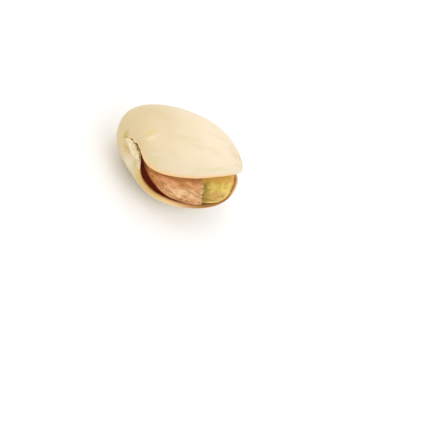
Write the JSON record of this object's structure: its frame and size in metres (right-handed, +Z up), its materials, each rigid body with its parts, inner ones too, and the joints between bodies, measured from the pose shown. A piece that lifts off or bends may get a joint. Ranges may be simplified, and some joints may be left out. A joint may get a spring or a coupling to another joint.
{
  "type": "pistachio in shell",
  "caption": "Roasted pistachio lying on its lower shell half, gaping along one side, with the kernel and its torn skin showing in the gape.",
  "frame": {"origin": "on the floor, under the middle of the bounding box", "axes": "+X along the nut from its stem end to its tip, -Y towards the gaping side, +Z up"},
  "size_m": [0.0214, 0.0136, 0.0125],
  "materials": {
    "shell": "smooth woody nutshell, cream with tan stains, satin",
    "kernel": "dry yellow-green nut flesh, faintly waxy",
    "seed_coat": "papery reddish tan skin, wrinkled and flaking"
  },
  "bodies": {
    "root": {"shell": "shell", "kernel": "kernel", "seed_coat": "seed_coat"}
  },
  "joints": []
}
